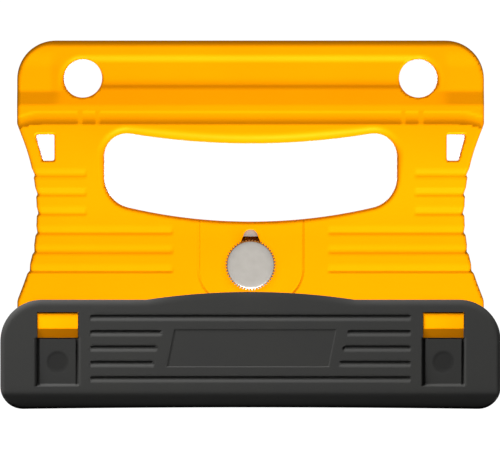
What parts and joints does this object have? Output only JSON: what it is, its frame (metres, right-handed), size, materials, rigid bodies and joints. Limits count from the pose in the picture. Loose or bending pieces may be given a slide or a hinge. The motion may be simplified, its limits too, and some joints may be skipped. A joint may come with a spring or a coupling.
{
  "type": "razor scraper",
  "caption": "Wide hand scraper: waisted yellow handle with finger opening, hanging holes, sliding blade clamped by a knurled knob, and black push-on blade cover",
  "frame": {"origin": "Middle of the footprint, on the surface that the tool lies on with its back down.", "axes": "+X is across the tool along the blade, +Y runs from the blade to the grip, +Z points out of the front face."},
  "size_m": [0.1924, 0.1412, 0.0204],
  "materials": {
    "yellow_plastic": "satin moulded",
    "black_plastic": "satin moulded",
    "plated_steel": "plated",
    "blade_steel": "ground",
    "zinc_plated": "zinc plated",
    "nickel_plated": "turned and nickel plated"
  },
  "bodies": {
    "handle": {"front_shell": "yellow_plastic", "rear_shell": "yellow_plastic", "guide_plate": "plated_steel", "guide_screw_left": "zinc_plated", "guide_screw_right": "zinc_plated", "shell_screw_1": "zinc_plated", "shell_screw_2": "zinc_plated", "shell_screw_3": "zinc_plated", "shell_screw_4": "zinc_plated", "shell_screw_5": "zinc_plated", "shell_screw_6": "zinc_plated"},
    "carriage": {"blade_carriage": "plated_steel", "blade": "blade_steel", "blade_stud_left": "zinc_plated", "blade_stud_right": "zinc_plated", "carriage_nut": "zinc_plated"},
    "knob": {"clamp_knob": "nickel_plated", "clamp_stud": "zinc_plated", "clamp_washer": "zinc_plated"},
    "cover": {"blade_cover": "black_plastic"},
    "latch_tongue_left": {"latch_left": "yellow_plastic"},
    "latch_tongue_right": {"latch_right": "yellow_plastic"}
  },
  "joints": [
    {"name": "carriage_slide", "type": "slide", "parent": "handle", "child": "carriage", "axis": [0, 1, 0], "range_m": [0, 0.008]},
    {"name": "screw_turn", "type": "hinge", "parent": "carriage", "child": "knob", "pos_m": [0, -0.0156, 0.0145], "axis": [0, 0, 1], "range_deg": [0, 720]},
    {"name": "cover_slide", "type": "slide", "parent": "handle", "child": "cover", "axis": [0, -1, 0], "range_m": [0, 0.046], "deforming": ["latch_left", "latch_right"]},
    {"name": "latch_left_press", "type": "hinge", "parent": "handle", "child": "latch_tongue_left", "pos_m": [-0.0741, -0.0481, 0.0122], "axis": [-1, 0, 0], "range_deg": [0, 7], "stiffness_Nm_per_rad": 0.4},
    {"name": "latch_right_press", "type": "hinge", "parent": "handle", "child": "latch_tongue_right", "pos_m": [0.0741, -0.0481, 0.0122], "axis": [-1, 0, 0], "range_deg": [0, 7], "stiffness_Nm_per_rad": 0.4}
  ]
}
